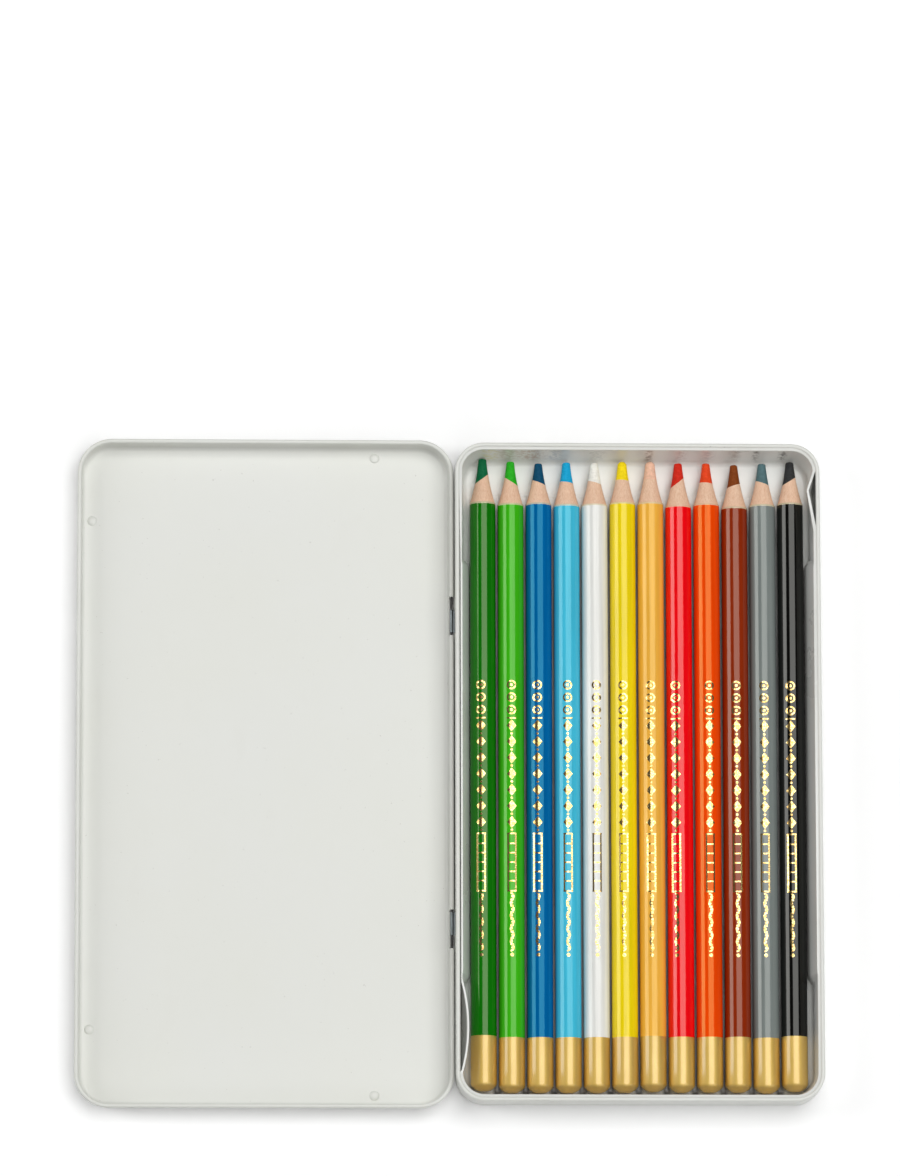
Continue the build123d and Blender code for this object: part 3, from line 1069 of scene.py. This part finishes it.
def half_ring(outer, inner, y, side):
    """One bend of a running wave: the half of a ring that lies on one side of the line."""
    part = ring(outer, inner, y)
    pick(part, everywhere)
    bpy.ops.mesh.bisect(plane_co=(0, y * mm, 0), plane_no=(side, 0, 0), clear_inner=True)
    bpy.ops.mesh.select_all(action="SELECT")
    bpy.ops.transform.translate(value=(-side * (outer + inner) / 4 * mm, 0, 0))
    end_edit()
    return part


def make_ornament():
    """A flat band: rings and dots, a chain of lozenges, a ladder, and a running wave."""
    parts = [flat_part(foil_width, bar_length, y, cuts=5) for y in bar_places]
    for index in range(ring_count):
        y = foil_start - ring_outer - index * ring_step
        parts += [ring(ring_outer, ring_inner, y), ring(ring_dot, 0, y)]
    for index in range(lozenge_count):
        y = bar_places[0] - lozenge_gap - index * lozenge_step
        parts += [lozenge(foil_width, lozenge_length, y), ring(lozenge_dot, 0, y - lozenge_step / 2)]
    ladder_middle = (bar_places[1] + bar_places[2]) / 2
    for x in (-rail_place, rail_place):
        parts.append(flat_part(rail_width, rail_length, ladder_middle, x))
    for index in range(rung_count):
        y = ladder_middle + (index - (rung_count - 1) / 2) * rail_length / (rung_count + 1)
        parts.append(flat_part(rung_width, rung_length, y, cuts=3))
    y = bar_places[2] - wave_gap
    side = 1
    for _ in range(wave_count):
        parts += [half_ring(wave_outer, wave_inner, y, side), ring(wave_dot, 0, y, side * wave_dot_shift)]
        y -= wave_step
        side = -side
    parts.append(ring(end_dot, 0, y - end_dot_gap))
    return join(*parts)


def stamp(ornament, barrel, shift, coat):
    """Lays a copy of the flat ornament on one barrel."""
    band = copy_of(ornament, f"foil_{barrel.name}")
    band.location = ((barrel.x + shift) * mm, 0, (barrel.z + barrel.radius + 0.5) * mm)
    select_only(band)
    fix_place()
    apply_modifier(
        band, "SHRINKWRAP", target=coat, wrap_method="PROJECT", use_project_z=True,
        use_negative_direction=True, use_positive_direction=False, offset=foil_lift * mm,
    )
    apply_modifier(band, "SOLIDIFY", thickness=foil_thickness * mm, offset=0)
    settle(band, 50)
    dress(band, foil)
    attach(band, "pencil_" + barrel.name)


ornament = make_ornament()
for name, cone, lead_shift, tip_radius, foil_shift, turn, colour, lead_colour in pencils:
    barrel = Barrel(name, cone)
    make_core(barrel, lead_shift, tip_radius, turn, lead_colour)
    coat = make_coat(barrel, colour)
    make_dip(barrel)
    stamp(ornament, barrel, foil_shift, coat)
remove(ornament)


# Floor, lights and camera

tin_middle_x, lights_middle_x = -50.0, -30.0
floor_metres, panel_distance_metres, room_light = 20, 1.5, 0.06
focal_pixels, picture_height_pixels = 7917.8, 1176

# Distances from the tin's middle between which the floor's own light grows, and its first share
shadow_edge, shadow_lift, white_floor = (50, 75), 0.08, (100, 1200)


def lit_floor():
    """White floor that takes the shadow near the tin and is plain white farther off."""
    bpy.ops.mesh.primitive_plane_add(size=floor_metres, location=(0, 0, -0.05 * mm))
    floor = active("floor")
    look = Finish("floor", (0.98, 0.98, 0.98, 1.0), 0.9)
    rays = look.node("LightPath", {}).outputs
    visible = look.maths("MAXIMUM", rays["Is Camera Ray"], rays["Is Glossy Ray"])
    from_tin = look.stretched((1, 1, 0), (-tin_middle_x * mm, 0, 0))
    away = look.node("VectorMath", {0: from_tin}, operation="LENGTH").outputs["Value"]
    near_light = look.zone(away, *shadow_edge, 0, shadow_lift)
    lift = look.maths("ADD", near_light, look.zone(away, *white_floor))
    look.set(look.shader, {
        "Specular IOR Level": 0.0,
        "Emission Color": (1, 1, 1, 1),
        "Emission Strength": look.times(visible, lift),
    })
    dress(floor, look.material)


def softbox(name, across, along, radiance):
    """Soft panel seen from the object between two angles each way from straight up."""
    toward = [math.tan(math.radians((low + high) / 2)) for low, high in (across, along)] + [1.0]
    length = math.sqrt(sum(part * part for part in toward))
    widths = [math.tan(math.radians((high - low) / 2)) for low, high in (across, along)]
    lamp = bpy.data.lights.new(name, "AREA")
    lamp.shape = "RECTANGLE"
    lamp.size, lamp.size_y = (2 * panel_distance_metres * width for width in widths)
    lamp.energy = radiance * math.pi * lamp.size * lamp.size_y
    panel = bpy.data.objects.new(name, lamp)
    bpy.context.scene.collection.objects.link(panel)
    panel.location = [panel_distance_metres * part / length for part in toward]
    panel.location.x += lights_middle_x * mm
    panel.rotation_euler = (math.atan2(-toward[1], math.hypot(toward[0], 1)), math.atan(toward[0]), 0)


lit_floor()
softbox("key_panel", (-12, 35), (-10, 33), 3.3)
softbox("left_panel", (-76, -42), (9, 27), 4.4)
softbox("front_panel", (-5, 68), (-62, -12), 0.9)

world = bpy.data.worlds.new("room")
bpy.context.scene.world = world
world.use_nodes = True
background = world.node_tree.nodes["Background"].inputs
background["Color"].default_value = (1, 1, 1, 1)
background["Strength"].default_value = room_light

# The camera stands where its picture of the tin matches the photograph
lens = bpy.data.cameras.new("camera")
lens.sensor_fit = "VERTICAL"
lens.sensor_height = 24
lens.lens = focal_pixels * lens.sensor_height / picture_height_pixels
lens.clip_end = 20
camera = bpy.data.objects.new("camera", lens)
bpy.context.scene.collection.objects.link(camera)
camera.location = (-0.1294, -0.3250, 2.1720)
camera.rotation_euler = [math.radians(turn) for turn in (9.864, -2.030, -0.090)]
bpy.context.scene.camera = camera
bpy.context.scene.view_settings.view_transform = "Standard"
